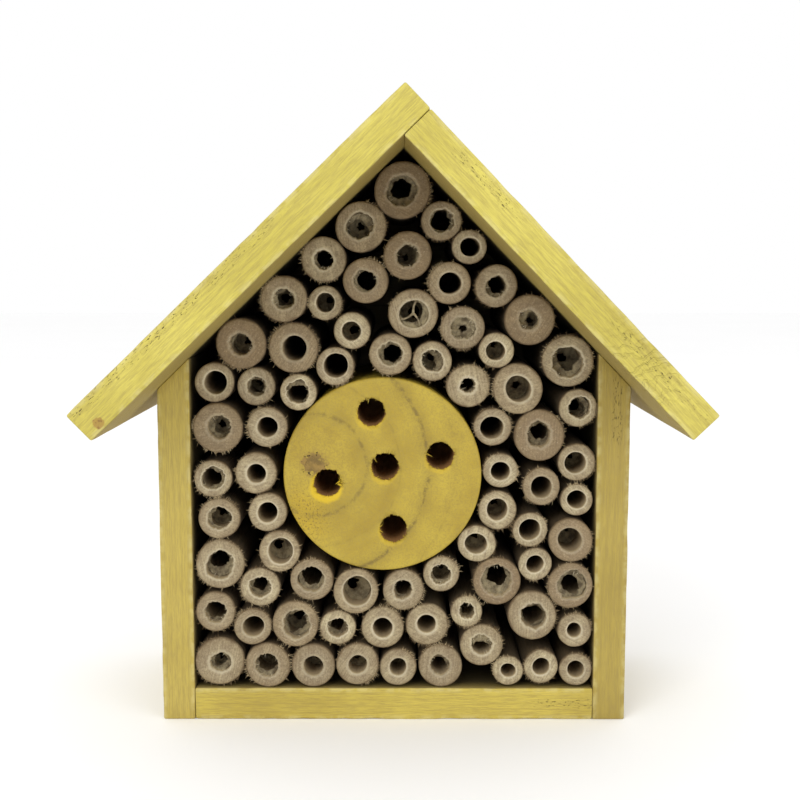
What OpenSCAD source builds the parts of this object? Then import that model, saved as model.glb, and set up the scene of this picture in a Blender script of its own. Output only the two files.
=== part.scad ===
// Insect hotel: a small open-fronted wooden house, packed with bamboo canes round a drilled log.
// The front faces -Y, the roof's two boards meet at a right angle, and the house stands on z = 0.

/* [House] */
// Width over the eaves
house_w = 216; // [180:1:262]
// Height from the ground to the ridge
house_h = 227; // [190:1:274]
// Depth of the roof, front to back
roof_d = 120; // [100:1:150]
// Thickness of the pine boards
board_t = 12; // [10:0.5:15]
// How far each eave stands out past its wall
eave_out = 22; // [18:1:28]
// How far the roof stands out past the front of the walls
porch_d = 40; // [33:1:50]
// How far the ridge lies to the right of the middle, because one roof board laps over the other
ridge_shift = 4; // [0:0.5:8]

/* [Back] */
// Thickness of the back panel
panel_t = 5; // [4:0.5:6.5]
// How far the back panel sits in from the back edges
panel_inset = 4; // [3:0.5:6]

/* [Log] */
// Diameter of the log
log_d = 72; // [60:1:87]
// Diameter of the nesting holes drilled in the log
nest_d = 10; // [8:0.5:11]
// Depth of the nesting holes
nest_deep = 55; // [40:1:62]

/* [Canes] */
// Free play round each cane and the log
cane_gap = 0.15; // [0.1:0.05:0.4]
// How far the canes lie back from the front of the walls
cane_back = 0.5; // [0:0.5:3]
// Number of cane groups
groups = 47; // [20:1:47]

/* [Fasteners] */
// Diameter of the roof and wall nails
nail_d = 1.8; // [1.4:0.1:2.4]
// Diameter of their heads
nail_head_d = 4.2; // [3.4:0.2:5]
// Length of the nails
nail_len = 40; // [30:1:45]
// Diameter of the pins that hold the back panel
pin_d = 1.2; // [1:0.1:1.6]
// Length of those pins
pin_len = 24; // [18:1:28]

/* [Hanger] */
// Length of the steel keyhole plate
hanger_w = 44; // [38:1:60]
// Height of the plate
hanger_h = 24; // [22:1:30]
// Thickness of the plate
hanger_t = 1.5; // [1:0.25:2]
// How far the keyhole lies below the ridge
hanger_drop = 77; // [65:1:92]
// Diameter of the keyhole's round end, for the head of the wall screw
keyhole_d = 8; // [7:0.5:9]
// Width of the keyhole's slot, for the neck of the wall screw
slot_w = 4; // [3.5:0.25:5]
// Diameter of the two plate screws
screw_d = 2.4; // [2:0.1:3]

/* [Hidden] */
$fn = 48;

// Depth: the front and back edges of the roof and of the body
roof_front = -roof_d / 2;
back_y = roof_d / 2;
body_front = roof_front + porch_d;
panel_back = back_y - panel_inset;
panel_front = panel_back - panel_t;
cavity_d = panel_front - body_front;

// The front view of the roof, as points [across, up] and directions down each slope
half_w = house_w / 2;
rise = sqrt((half_w + ridge_shift) * (half_w - ridge_shift));
ridge = [ridge_shift, house_h];
left_eave = [-half_w, house_h - rise];
right_eave = [half_w, house_h - rise];
down_left = (left_eave - ridge) / norm(left_eave - ridge);
down_right = (right_eave - ridge) / norm(right_eave - ridge);
// Each slope runs square to the other, so one board's length is the other board's thickness
under_ridge = ridge + board_t * (down_left + down_right);

// The body under it
body_half = half_w - eave_out;
inner_half = body_half - board_t;
// Height of the roof's underside at a place across the house
function under_roof(x) =
    let (down = x < under_ridge.x ? down_left : down_right)
    under_ridge.y + (x - under_ridge.x) * down.y / down.x;

wood = "#cdbb58";
pale_wood = "#d9cd86";
bark_wood = "#c9b14a";
bamboo = "#b5a98c";
steel = "silver";

// A front-view outline carried from y0 back to y1
module slab(outline, y0, y1) {
    translate([0, y1, 0])
        rotate([90, 0, 0])
            linear_extrude(y1 - y0)
                polygon(outline);
}

// A round bar along +Y, its centre at [across, up]
module bar_y(centre, d, y0, y1) {
    translate([centre.x, y0, centre.y])
        rotate([-90, 0, 0])
            cylinder(d = d, h = y1 - y0);
}

// --- Nails. Each nail module draws its shank and head, and the same module cuts its hole. ---

head_t = 0.8;
head_sink = 0.4;

// A nail standing along +Z with the top of its head at z = 0.
// cut is how far its hole is open above the head.
module nail(len, d, head_d, cut = 0) {
    translate([0, 0, -len])
        cylinder(d = d, h = len - head_t);
    translate([0, 0, -head_t])
        cylinder(d = head_d, h = head_t + cut);
}

// Three nails through the left roof board into the end of the right one
module ridge_nail_row(cut = 0) {
    start = ridge + down_left * board_t / 2 + down_right * head_sink;
    lean = atan2(-down_right.x, -down_right.y);
    for (y = [roof_front + 14, 0, back_y - 14])
        translate([start.x, y, start.y])
            rotate([0, lean, 0])
                nail(nail_len, nail_d, nail_head_d, cut);
}

// Two upright nails on each side, through a roof board into the top end of its wall.
// The heads sink until they are clear of the sloping face.
module roof_nail_row(side, cut = 0) {
    x = side * (body_half - board_t / 2);
    slope = side < 0 ? down_left : down_right;
    top = under_roof(x) + board_t / abs(slope.x);
    sink = head_sink + nail_head_d / 2 * abs(slope.y / slope.x);
    for (y = [body_front + 15, back_y - 15])
        translate([x, y, top - sink])
            nail(nail_len, nail_d, nail_head_d, cut * (sink + board_t));
}

// Two nails on each side, through a wall into the end of the floor board
module wall_nail_row(side, cut = 0) {
    for (y = [body_front + 15, back_y - 15])
        translate([side * (body_half - head_sink), y, board_t / 2])
            rotate([0, side * 90, 0])
                nail(nail_len, nail_d, nail_head_d, cut);
}

// Two thin pins on each side, through a wall into the edge of the back panel
module back_pin_row(side, cut = 0) {
    wall_top = under_roof(side * body_half);
    for (z = [wall_top / 3, wall_top * 0.8])
        translate([side * (body_half - head_sink), (panel_front + panel_back) / 2, z])
            rotate([0, side * 90, 0])
                nail(pin_len, pin_d, 2 * pin_d, cut);
}

// --- Boards ---

module wall(side) {
    outer = side * body_half;
    inner = side * inner_half;
    difference() {
        slab([[outer, 0], [inner, 0], [inner, under_roof(inner)], [outer, under_roof(outer)]],
            body_front, back_y);
        wall_nail_row(side, 1);
        back_pin_row(side, 1);
        roof_nail_row(side);
    }
}

module left_wall() {
    color(wood) wall(-1);
}

module right_wall() {
    color(wood) wall(1);
}

module floor_board() {
    color(wood)
        difference() {
            slab([[-inner_half, 0], [inner_half, 0], [inner_half, board_t], [-inner_half, board_t]],
                body_front, back_y);
            wall_nail_row(-1);
            wall_nail_row(1);
        }
}

// The left roof board runs up to the ridge and laps over the end of the right one
module roof_left() {
    inward = down_right * board_t;
    color(wood)
        difference() {
            slab([ridge, ridge + inward, left_eave + inward, left_eave], roof_front, back_y);
            ridge_nail_row(1);
            roof_nail_row(-1, 1);
        }
}

module roof_right() {
    inward = down_left * board_t;
    top_end = ridge + down_right * board_t;
    color(wood)
        difference() {
            slab([top_end, top_end + inward, right_eave + inward, right_eave], roof_front, back_y);
            ridge_nail_row();
            roof_nail_row(1, 1);
        }
}

// --- Back panel and hanger ---

// The keyhole's front view: a round end, and a slot that runs up from it
module keyhole(round_d, slot) {
    circle(d = round_d);
    translate([-slot / 2, 0])
        square([slot, hanger_h / 2 - 5]);
    translate([0, hanger_h / 2 - 5])
        circle(d = slot);
}

hanger_z = house_h - hanger_drop;
screw_x = hanger_w / 2 - 7;
screw_len = panel_t + hanger_t - 0.5;
screw_head_d = 2 * screw_d;
screw_head_t = hanger_t * 0.6;
pocket_floor = 1.5;

// Two countersunk screws, heads flush with the back of the plate
module hanger_screw_pair() {
    for (side = [-1, 1])
        translate([side * screw_x, panel_back + hanger_t, hanger_z])
            rotate([90, 0, 0]) {
                cylinder(d1 = screw_head_d, d2 = screw_d, h = screw_head_t);
                cylinder(d = screw_d, h = screw_len);
            }
}

module back_panel() {
    corners = [
        [-inner_half, board_t],
        [inner_half, board_t],
        [inner_half, under_roof(inner_half)],
        under_ridge,
        [-inner_half, under_roof(-inner_half)]
    ];
    color(pale_wood)
        difference() {
            slab(corners, panel_front, panel_back);
            back_pin_row(-1);
            back_pin_row(1);
            hanger_screw_pair();
            // A pocket behind the plate for the head of the wall screw
            translate([0, panel_back + 1, hanger_z])
                rotate([90, 0, 0])
                    linear_extrude(panel_t - pocket_floor + 1)
                        keyhole(keyhole_d + 1, keyhole_d + 1);
        }
}

module hanger_plate() {
    color(steel)
        difference() {
            translate([-hanger_w / 2, panel_back, hanger_z - hanger_h / 2])
                cube([hanger_w, hanger_t, hanger_h]);
            translate([0, panel_back + hanger_t + 1, hanger_z])
                rotate([90, 0, 0])
                    linear_extrude(hanger_t + 2)
                        keyhole(keyhole_d, slot_w);
            hanger_screw_pair();
        }
}

// --- How the canes and the log are packed ---

// Every cane as [across from the middle, up from the floor, outer diameter, bore],
// course by course from the floor up. These lie under the log.
low_canes = [
    [-65, 10, 18.5, 7.5], [-47, 9, 17, 9], [-30, 9, 16.5, 7.5], [-14, 9, 16, 7], [1, 8, 14, 6.5],
    [17, 9, 16.5, 7.5], [42, 7, 11.5, 5.5], [55, 8, 13, 6.5], [68, 7, 12.5, 6.5],
    [33, 16, 16, 7.5], [67, 22, 13, 5.5], [-21, 23, 13.5, 7.5], [-4, 23, 16, 7.5],
    [-52, 23, 14, 8], [12, 24, 16, 7], [-36, 24, 17.5, 10.5], [51, 28, 18.5, 9.5],
    [-66, 29, 15, 8], [27, 29, 12, 6], [-14, 37, 17, 11], [4, 38, 15.5, 7], [-49, 39, 15, 8],
    [65, 39, 17, 11], [38, 41, 18, 11.5], [-31, 42, 16, 9.5], [17, 44, 13.5, 7.5]
];
// These lie beside the log and over it, up into the gable
high_canes = [
    [-64, 47, 18.5, 10.5], [52, 47, 12.5, 6.5], [-42, 52, 15.5, 9.5], [30, 55, 14, 8],
    [65, 56, 16.5, 9], [50, 60, 13, 8], [-64, 64, 15.5, 8.5], [-46, 66, 14.5, 7.5],
    [38, 67, 14.5, 8], [67, 71, 12, 7], [54, 76, 14, 8], [-66, 79, 14, 8.5],
    [-50, 80, 15.5, 7], [39, 82, 13, 7], [67, 85, 14, 8], [53, 95, 19, 9],
    [-64, 98, 18.5, 8.5], [-46, 98, 15, 7.5], [36, 98, 14, 8.5], [67, 105, 14, 8],
    [-34, 111, 13.5, 8.5], [45, 112, 18.5, 9.5], [27, 113, 16, 5.5], [-50, 113, 14, 7],
    [-65, 114, 14.5, 8.5], [-22, 119, 14, 9], [14, 122, 14.5, 8], [63, 122, 19, 11.5],
    [-1, 124, 15.5, 8.5], [37, 126, 13, 7], [-35, 128, 18.5, 9], [-56, 129, 18.5, 8],
    [-15, 133, 13.5, 7], [25, 134, 16, 8.5], [49, 137, 18.5, 7], [7, 139, 18, 10.5],
    [-25, 143, 12.5, 7], [-41, 144, 17, 7.5], [37, 149, 15.5, 7.5], [20, 150, 15.5, 8],
    [-10, 151, 16.5, 8], [-25, 159, 16.5, 7], [5, 160, 17.5, 8], [26, 164, 12.5, 7],
    [-12, 170, 18.5, 9.5], [16, 173, 14.5, 8.5], [3, 184, 20.5, 11]
];
// The log's own place among them
log_place = [-4, 81];
log_turn = len(low_canes);
plan = concat(low_canes, [[log_place.x, log_place.y, log_d, 0]], high_canes);

// The log and the canes as circles [across, up, radius] in the front view
planned = [for (c = plan) [c.x, board_t + c.y, c.z / 2]];

// Walls, floor and roof slopes as circles too large to show a curve, so that one rule serves them all
huge = 1000000;
bounds = [
    [-inner_half - huge, 0, huge],
    [inner_half + huge, 0, huge],
    [0, board_t - huge, huge],
    [under_ridge.x - down_right.x * huge, under_ridge.y - down_right.y * huge, huge],
    [under_ridge.x - down_left.x * huge, under_ridge.y - down_left.y * huge, huge]
];

function flat(c) = [c.x, c.y];
function room(c, q) = norm(flat(c) - flat(q)) - c.z - q.z;
function total(vectors) = [for (v = vectors) 1] * vectors;

// Canes that overlap, or stand in a wall, are nudged apart, all at once and a little at a time
nudge_rounds = 50;
reach = 5;
function nudge(c, q, share) =
    let (lap = cane_gap - room(c, q))
    lap > 0 ? (flat(c) - flat(q)) / norm(flat(c) - flat(q)) * lap * share : [0, 0];
function nudged(circles, near, rounds) =
    rounds == 0 ? circles : nudged([
        for (i = [0 : len(circles) - 1])
            let (c = circles[i])
            let (apart = [for (j = near[i]) nudge(c, circles[j], 0.45)])
            let (inward = [for (b = bounds) nudge(c, b, 0.9)])
            let (move = total(concat(apart, inward)))
            [c.x + move.x, c.y + move.y, c.z]
    ], near, rounds - 1);
function neighbours(circles) = [
    for (i = [0 : len(circles) - 1])
        [for (j = [0 : len(circles) - 1]) if (j != i && room(circles[i], circles[j]) < reach) j]
];

// Where a circle of radius r rests on a and b at once: both sides of the line through their centres
function touching(a, b, r) =
    let (ra = a.z + r + cane_gap, rb = b.z + r + cane_gap, across = flat(b) - flat(a), d = norm(across))
    d >= ra + rb || d <= abs(ra - rb) ? [] :
    let (along = (ra * ra - rb * rb + d * d) / (2 * d), off = sqrt(max(0, ra * ra - along * along)))
    let (foot = flat(a) + across / d * along, square = [-across.y, across.x] / d)
    [for (side = [-1, 1]) concat(foot + square * off * side, r)];

// A seat holds when a and b together push the circle straight up
function holds(c, a, b) =
    let (u = flat(c) - flat(a), v = flat(c) - flat(b), turn = u.x * v.y - u.y * v.x)
    turn != 0 && -v.x / turn >= 0 && u.x / turn >= 0;

// The free seats for a circle of radius r, higher than level
function seats(held, r, level) = [
    for (i = [1 : len(held) - 1], j = [0 : i - 1])
        let (a = held[i], b = held[j])
        for (c = touching(a, b, r))
            if (c.y > level && c.y < house_h && holds(c, a, b))
                if (min([for (q = held) room(c, q)]) > cane_gap - 0.01) c
];

// The lowest seat, or for the log the one nearest its planned place
function worth(c, is_log) = is_log ? norm(flat(c) - log_place - [0, board_t]) : c.y;
function best(found, is_log) =
    let (worths = [for (c = found) worth(c, is_log)], least = min(worths))
    [for (i = [0 : len(found) - 1]) if (worths[i] == least) found[i]][0];

// Drops the circles in one at a time; done when several in a row find no seat.
// Each result is [across, up, radius, number in the plan].
// Seats are looked for only down to look_down under the last circle, because those below are taken.
spare_tries = 8;
look_down = 5;
function heaped(turn, held, misses) =
    misses == spare_tries ? held :
    let (n = turn < len(plan) ? turn : (turn - len(plan)) % log_turn)
    let (r = plan[n].z / 2, last = held[len(held) - 1])
    let (level = n == log_turn || last.z == huge ? 0 : last.y - last.z - look_down)
    let (open = [for (q = held) if (q.z == huge || q.y + q.z > level - r) q])
    let (found = seats(open, r, level))
    len(found) == 0 ? heaped(turn + 1, held, misses + 1) :
    let (c = best(found, n == log_turn))
    heaped(turn + 1, concat(held, [concat(c, n)]), 0);

// The canes keep their planned places where these fill the house without a clash.
// In a house of another size they are dropped in anew.
full_house = 0.74;
cavity_area = 2 * inner_half * (under_roof(0) - board_t) - inner_half * inner_half;
fill = PI * total([for (c = planned) [c.z * c.z]])[0] / cavity_area;
function tightest(circles) = min([
    for (i = [0 : len(circles) - 1])
        min([for (q = concat(bounds, [for (j = [0 : i]) if (j < i) circles[j]])) room(circles[i], q)])
]);
function packed() =
    let (tried = nudged(planned, neighbours(planned), nudge_rounds))
    fill > full_house && tightest(tried) > 0
        ? [for (n = [0 : len(tried) - 1]) concat(tried[n], n)]
        : [for (c = heaped(0, bounds, 0)) if (len(c) == 4) c];

// --- Log and canes ---

// Places of the nesting holes, from the middle of the log
nests = [[-4, 23], [-20, -3], [1, 3], [21, 7], [4, -20]];

module log() {
    middle = flat([for (c = packed()) if (c[3] == log_turn) c][0]);
    color(bark_wood)
        difference() {
            bar_y(middle, log_d, body_front, panel_front);
            for (n = nests)
                bar_y(middle + n * log_d / 72, nest_d, body_front - 1, body_front + nest_deep);
        }
}

module cane(c) {
    bore = plan[c[3]][3];
    difference() {
        bar_y(flat(c), 2 * c.z, body_front + cane_back, panel_front);
        bar_y(flat(c), bore, body_front + cane_back - 1, panel_front + 1);
    }
}

function tube_name(k) = str("tube_", k < 10 ? "0" : "", k);

// Group k holds every cane whose turn falls on it
module tube_group(k) {
    canes = [for (c = packed()) if (c[3] != log_turn) c];
    color(bamboo)
        for (i = [k - 1 : groups : len(canes) - 1])
            cane(canes[i]);
}

left_wall();
right_wall();
floor_board();
roof_left();
roof_right();
back_panel();
log();
color(steel) ridge_nail_row();  // ridge_nails
color(steel) roof_nail_row(-1);  // roof_nails
color(steel) roof_nail_row(1);  // roof_nails
color(steel) wall_nail_row(-1);  // wall_nails
color(steel) wall_nail_row(1);  // wall_nails
color(steel) back_pin_row(-1);  // back_pins
color(steel) back_pin_row(1);  // back_pins
hanger_plate();
color(steel) hanger_screw_pair();  // hanger_screws
for (k = [1 : groups])
    tube_group(k);
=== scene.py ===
# %% [markdown]
# # An insect hotel, finished in Blender
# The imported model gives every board, cane, nail and the log its size and place.
# This lesson keeps those places and adds what a plain solid can't show: worn edges, saw marks,
# torn fibres, growth rings and a thin yellow stain. Each new piece is a surface worked out with
# numpy from a formula, so its shape can be read and changed in a few lines.

# %% Load the frame
from math import pi, radians

import bmesh
import bpy
import numpy as np
from mathutils import Euler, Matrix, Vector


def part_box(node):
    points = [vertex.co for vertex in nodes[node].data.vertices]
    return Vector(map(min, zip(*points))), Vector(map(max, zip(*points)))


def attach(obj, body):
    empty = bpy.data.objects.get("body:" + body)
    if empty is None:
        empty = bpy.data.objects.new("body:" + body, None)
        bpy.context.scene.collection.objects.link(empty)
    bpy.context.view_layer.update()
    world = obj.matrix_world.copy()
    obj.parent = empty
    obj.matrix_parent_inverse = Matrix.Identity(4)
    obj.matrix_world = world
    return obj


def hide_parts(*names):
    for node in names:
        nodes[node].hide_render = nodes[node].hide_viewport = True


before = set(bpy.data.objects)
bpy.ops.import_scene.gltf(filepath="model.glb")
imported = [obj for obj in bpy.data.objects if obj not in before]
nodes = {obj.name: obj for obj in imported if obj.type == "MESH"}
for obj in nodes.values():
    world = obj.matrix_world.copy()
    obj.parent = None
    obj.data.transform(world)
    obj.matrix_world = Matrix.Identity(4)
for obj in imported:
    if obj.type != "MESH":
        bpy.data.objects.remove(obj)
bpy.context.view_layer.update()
mm = 0.001

# %% [markdown]
# ## Reading places from the frame
# A CAD node's place is in its mesh. The corners of the two roof boards give the slopes, and each
# cane's own ring of points gives its middle, its radius and its bore. Nothing is typed in twice.

# %% Points and loose solids of a node
def node_points(name):
    """All the corner points of a CAD node, one row each."""
    mesh = nodes[name].data
    flat = np.empty(len(mesh.vertices) * 3, np.float32)
    mesh.vertices.foreach_get("co", flat)
    return flat.reshape(-1, 3).astype(float)


def solids(name):
    """The points of each separate solid in a node.

    Points at the same place share a number. Each triangle then hands its smallest number to its
    corners, again and again, until every solid carries one number of its own.
    """
    mesh = nodes[name].data
    points = node_points(name)
    mesh.calc_loop_triangles()
    triangles = np.empty(len(mesh.loop_triangles) * 3, np.int32)
    mesh.loop_triangles.foreach_get("vertices", triangles)
    _, same = np.unique(np.round(points, 6), axis=0, return_inverse=True)
    corners = same.reshape(-1)[triangles.reshape(-1, 3)]
    number = np.arange(corners.max() + 1)
    while True:
        smallest = number[corners].min(axis=1)
        following = number.copy()
        np.minimum.at(following, corners.ravel(), np.repeat(smallest, 3))
        if (following == number).all():
            break
        number = following
    owner = number[same.reshape(-1)]
    return [points[owner == n] for n in np.unique(owner)]


# %% The house's own lines
def front_view(point):
    """The across and up values of a point, without its depth."""
    return np.array([point[0], point[2]])


left_roof = node_points("roof_left")
right_roof = node_points("roof_right")
ridge = front_view(left_roof[left_roof[:, 2].argmax()])
left_eave = front_view(left_roof[left_roof[:, 0].argmin()])
right_eave = front_view(right_roof[right_roof[:, 0].argmax()])
down_left = (left_eave - ridge) / np.linalg.norm(left_eave - ridge)
down_right = (right_eave - ridge) / np.linalg.norm(right_eave - ridge)
roof_front, roof_back = left_roof[:, 1].min(), left_roof[:, 1].max()

floor_low, floor_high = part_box("floor_board")
board_t = floor_high.z - floor_low.z
body_front, body_back = floor_low.y, floor_high.y
log_low, log_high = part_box("log")
log_middle = np.array([(log_low.x + log_high.x) / 2, (log_low.z + log_high.z) / 2])
log_r = (log_high.x - log_low.x) / 2
print("ridge", ridge / mm, "board", board_t / mm, "log", log_middle / mm, log_r / mm)

# %% [markdown]
# ## Turning grids into pieces
# A grid of points, `rows` by `columns`, becomes a skin of four-sided faces. A grid that closes on
# itself is wrapped, so there is no seam. Several grids can be joined into one piece, and each
# point may carry values, such as how deep it lies, for the materials to read.

# %% Grid helpers
def grid_faces(rows, columns, wrap_rows=False):
    """Faces that join each grid point to its neighbours.

    The columns always go round, so the last joins the first; the rows do so if wrap_rows is set.
    """
    r, c = np.meshgrid(np.arange(rows if wrap_rows else rows - 1), np.arange(columns), indexing="ij")
    r_next, c_next = (r + 1) % rows, (c + 1) % columns
    corners = [r * columns + c, r * columns + c_next, r_next * columns + c_next, r_next * columns + c]
    return np.stack(corners, -1).reshape(-1, 4)


def skin(points, values=None, wrap_rows=False):
    """One grid with its faces, turned outwards: the volume it holds must come out positive."""
    rows, columns = points.shape[:2]
    flat = points.reshape(-1, 3)
    faces = grid_faces(rows, columns, wrap_rows)
    a, b, c, d = (flat[faces[:, k]] for k in range(4))
    volume = (np.einsum("ij,ij->i", a, np.cross(b, c)) + np.einsum("ij,ij->i", a, np.cross(c, d))).sum()
    if volume < 0:
        faces = faces[:, ::-1]
    values = {k: np.broadcast_to(v, (rows, columns)).ravel() for k, v in (values or {}).items()}
    return {"points": flat, "faces": faces, "values": values}


def piece(name, skins, material, stands_for=()):
    """Joins skins into one named object that rides on the house and stands for its CAD nodes.

    Points at one place are merged, which closes each grid where it shrinks to a point.
    """
    starts = np.cumsum([0] + [len(s["points"]) for s in skins[:-1]])
    points = np.concatenate([s["points"] for s in skins])
    faces = np.concatenate([s["faces"] + start for s, start in zip(skins, starts)])
    mesh = bpy.data.meshes.new(name)
    mesh.vertices.add(len(points))
    mesh.vertices.foreach_set("co", points.astype(np.float32).ravel())
    mesh.loops.add(faces.size)
    mesh.loops.foreach_set("vertex_index", faces.astype(np.int32).ravel())
    mesh.polygons.add(len(faces))
    mesh.polygons.foreach_set("loop_start", np.arange(0, faces.size, 4, dtype=np.int32))
    mesh.update(calc_edges=True)
    for key in skins[0]["values"]:
        layer = mesh.attributes.new(key, "FLOAT", "POINT")
        layer.data.foreach_set("value", np.concatenate([s["values"][key] for s in skins]).astype(np.float32))
    whole = bmesh.new()
    whole.from_mesh(mesh)
    bmesh.ops.remove_doubles(whole, verts=whole.verts, dist=1e-7)
    whole.to_mesh(mesh)
    whole.free()
    mesh.shade_smooth()
    mesh.materials.append(material)
    made = bpy.data.objects.new(name, mesh)
    bpy.context.scene.collection.objects.link(made)
    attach(made, "root")
    if stands_for:
        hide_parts(*stands_for)
    return made


# %% Uneven surfaces
def ripple(points, size, seed, waves=7):
    """Smooth unevenness between -1 and 1: a sum of sine waves, each along its own random direction.

    size is the length of the waves in metres. The same seed always gives the same surface.
    """
    rng = np.random.default_rng(seed)
    directions = rng.normal(size=(waves, points.shape[-1]))
    directions *= (rng.uniform(0.6, 1.6, waves) * 2 * pi / size / np.linalg.norm(directions, axis=1))[:, None]
    phases = rng.uniform(0, 2 * pi, waves)
    return np.sin(points @ directions.T + phases).mean(-1) * 1.6


# %% [markdown]
# ## Materials from nodes
# A procedural material is a small network. The helpers below each add one step, so that a
# material reads like a recipe: take the place on the piece, make a pattern from it, mix two
# colours by the pattern, and raise the surface a little where the pattern is high.

# %% Node helpers
def paint(code):
    """A colour written as on a paint card, changed to the linear values that a shader uses."""
    value = np.array([int(code[i : i + 2], 16) for i in (1, 3, 5)]) / 255
    linear = np.where(value <= 0.04045, value / 12.92, ((value + 0.055) / 1.055) ** 2.4)
    return (*linear, 1.0)


class Recipe:
    """A material's node tree, with one short method for each kind of step."""

    def __init__(self, name, roughness=0.6):
        self.material = bpy.data.materials.new(name)
        self.material.use_nodes = True
        self.tree = self.material.node_tree
        self.shader = self.tree.nodes["Principled BSDF"]
        self.shader.inputs["Roughness"].default_value = roughness
        self.place = self.add("ShaderNodeTexCoord").outputs["Object"]

    def add(self, kind, **settings):
        step = self.tree.nodes.new(kind)
        for key, value in settings.items():
            setattr(step, key, value)
        return step

    def feed(self, socket, value):
        if isinstance(value, bpy.types.NodeSocket):
            self.tree.links.new(value, socket)
        else:
            socket.default_value = value

    def math(self, operation, a, b=0.0, c=0.0):
        step = self.add("ShaderNodeMath", operation=operation)
        for socket, value in zip(step.inputs, (a, b, c)):
            self.feed(socket, value)
        return step.outputs[0]

    def attribute(self, name):
        return self.add("ShaderNodeAttribute", attribute_name=name).outputs["Fac"]

    def stretched(self, scale, shift=(0, 0, 0), place=None):
        step = self.add("ShaderNodeMapping")
        self.feed(step.inputs["Vector"], place or self.place)
        step.inputs["Scale"].default_value = scale
        step.inputs["Location"].default_value = shift
        return step.outputs[0]

    def noise(self, place, scale, detail=3.0, roughness=0.55, distortion=0.0):
        step = self.add("ShaderNodeTexNoise")
        self.feed(step.inputs["Vector"], place)
        settings = {"Scale": scale, "Detail": detail, "Roughness": roughness, "Distortion": distortion}
        for key, value in settings.items():
            step.inputs[key].default_value = value
        return step.outputs["Fac"]

    def cells(self, place, scale):
        """Distance to the nearest of many scattered points."""
        step = self.add("ShaderNodeTexVoronoi")
        self.feed(step.inputs["Vector"], place)
        step.inputs["Scale"].default_value = scale
        return step.outputs["Distance"]

    def between(self, value, start, end, low=0.0, high=1.0):
        """low up to start, high from end on, and a smooth slope between."""
        step = self.add("ShaderNodeMapRange", interpolation_type="SMOOTHSTEP")
        for socket, number in zip(step.inputs, (value, start, end, low, high)):
            self.feed(socket, number)
        return step.outputs[0]

    def mix(self, factor, a, b):
        """Colour a where factor is 0, colour b where it is 1."""
        step = self.add("ShaderNodeMix", data_type="RGBA")
        factor_socket, first_colour, second_colour = step.inputs[0], step.inputs[6], step.inputs[7]
        self.feed(factor_socket, factor)
        self.feed(first_colour, a)
        self.feed(second_colour, b)
        mixed_colour = step.outputs[2]
        return mixed_colour

    def dot(self, vector, direction):
        step = self.add("ShaderNodeVectorMath", operation="DOT_PRODUCT")
        self.feed(step.inputs[0], vector)
        step.inputs[1].default_value = direction
        return step.outputs["Value"]

    def combine(self, x, y, z):
        step = self.add("ShaderNodeCombineXYZ")
        for socket, value in zip(step.inputs, (x, y, z)):
            self.feed(socket, value)
        return step.outputs[0]

    def near(self, centre, reach, soft=0.5):
        """1 close to a point, falling to 0 at reach; soft is the share of the reach it fades over."""
        step = self.add("ShaderNodeVectorMath", operation="DISTANCE")
        self.feed(step.inputs[0], self.place)
        step.inputs[1].default_value = centre
        return self.between(step.outputs["Value"], reach * (1 - soft), reach, 1.0, 0.0)

    def finish(self, colour, height=None, depth=0.0002, roughness=None):
        self.feed(self.shader.inputs["Base Color"], colour)
        if roughness is not None:
            self.feed(self.shader.inputs["Roughness"], roughness)
        if height is not None:
            bump = self.add("ShaderNodeBump")
            bump.inputs["Distance"].default_value = depth
            bump.inputs["Strength"].default_value = 1.0
            self.feed(bump.inputs["Height"], height)
            self.feed(self.shader.inputs["Normal"], bump.outputs[0])
        return self.material


# %% [markdown]
# ## Stained pine
# The boards are pine under a thin greenish-yellow stain. Wood is a solid with rings round the
# heart of the tree, so the pattern is worked out in depth: distance from a line that runs along
# the grain gives the rings, and every face of the board then cuts through the same tree. Long,
# narrow noise gives the fibres. The stain is thinner on the worn edges, which a value that the
# board's own points carry, `edge`, marks.

# %% Where the boards lie
wall_low, wall_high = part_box("left_wall")
right_low, right_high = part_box("right_wall")


def wall_tops(name, outer_x, inner_x):
    """Heights of a wall's sloping top at its outer and inner face."""
    points = node_points(name)
    return [points[abs(points[:, 0] - x) < 0.05 * mm, 2].max() for x in (outer_x, inner_x)]


up, right, left = np.array([0.0, 1.0]), np.array([1.0, 0.0]), np.array([-1.0, 0.0])
butt = ridge + down_right * board_t
left_len = np.linalg.norm(left_eave - ridge)
right_len = np.linalg.norm(right_eave - butt)
floor_len = floor_high.x - floor_low.x
# Each board: start, direction along the grain, direction through it, front, back, and its two faces' lengths
boards = {
    "roof_left": (ridge, down_left, down_right, roof_front, roof_back, left_len, left_len),
    "roof_right": (butt, down_right, down_left, roof_front, roof_back, right_len, right_len),
    "left_wall": (np.array([wall_low.x, 0]), up, right, body_front, body_back,
                  *wall_tops("left_wall", wall_low.x, wall_high.x)),
    "right_wall": (np.array([right_high.x, 0]), up, left, body_front, body_back,
                   *wall_tops("right_wall", right_high.x, right_low.x)),
    "floor_board": (np.array([floor_low.x, 0]), right, up, body_front, body_back, floor_len, floor_len),
}
print("roof boards are", round(left_len / mm), "and", round(right_len / mm), "mm long")

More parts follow.
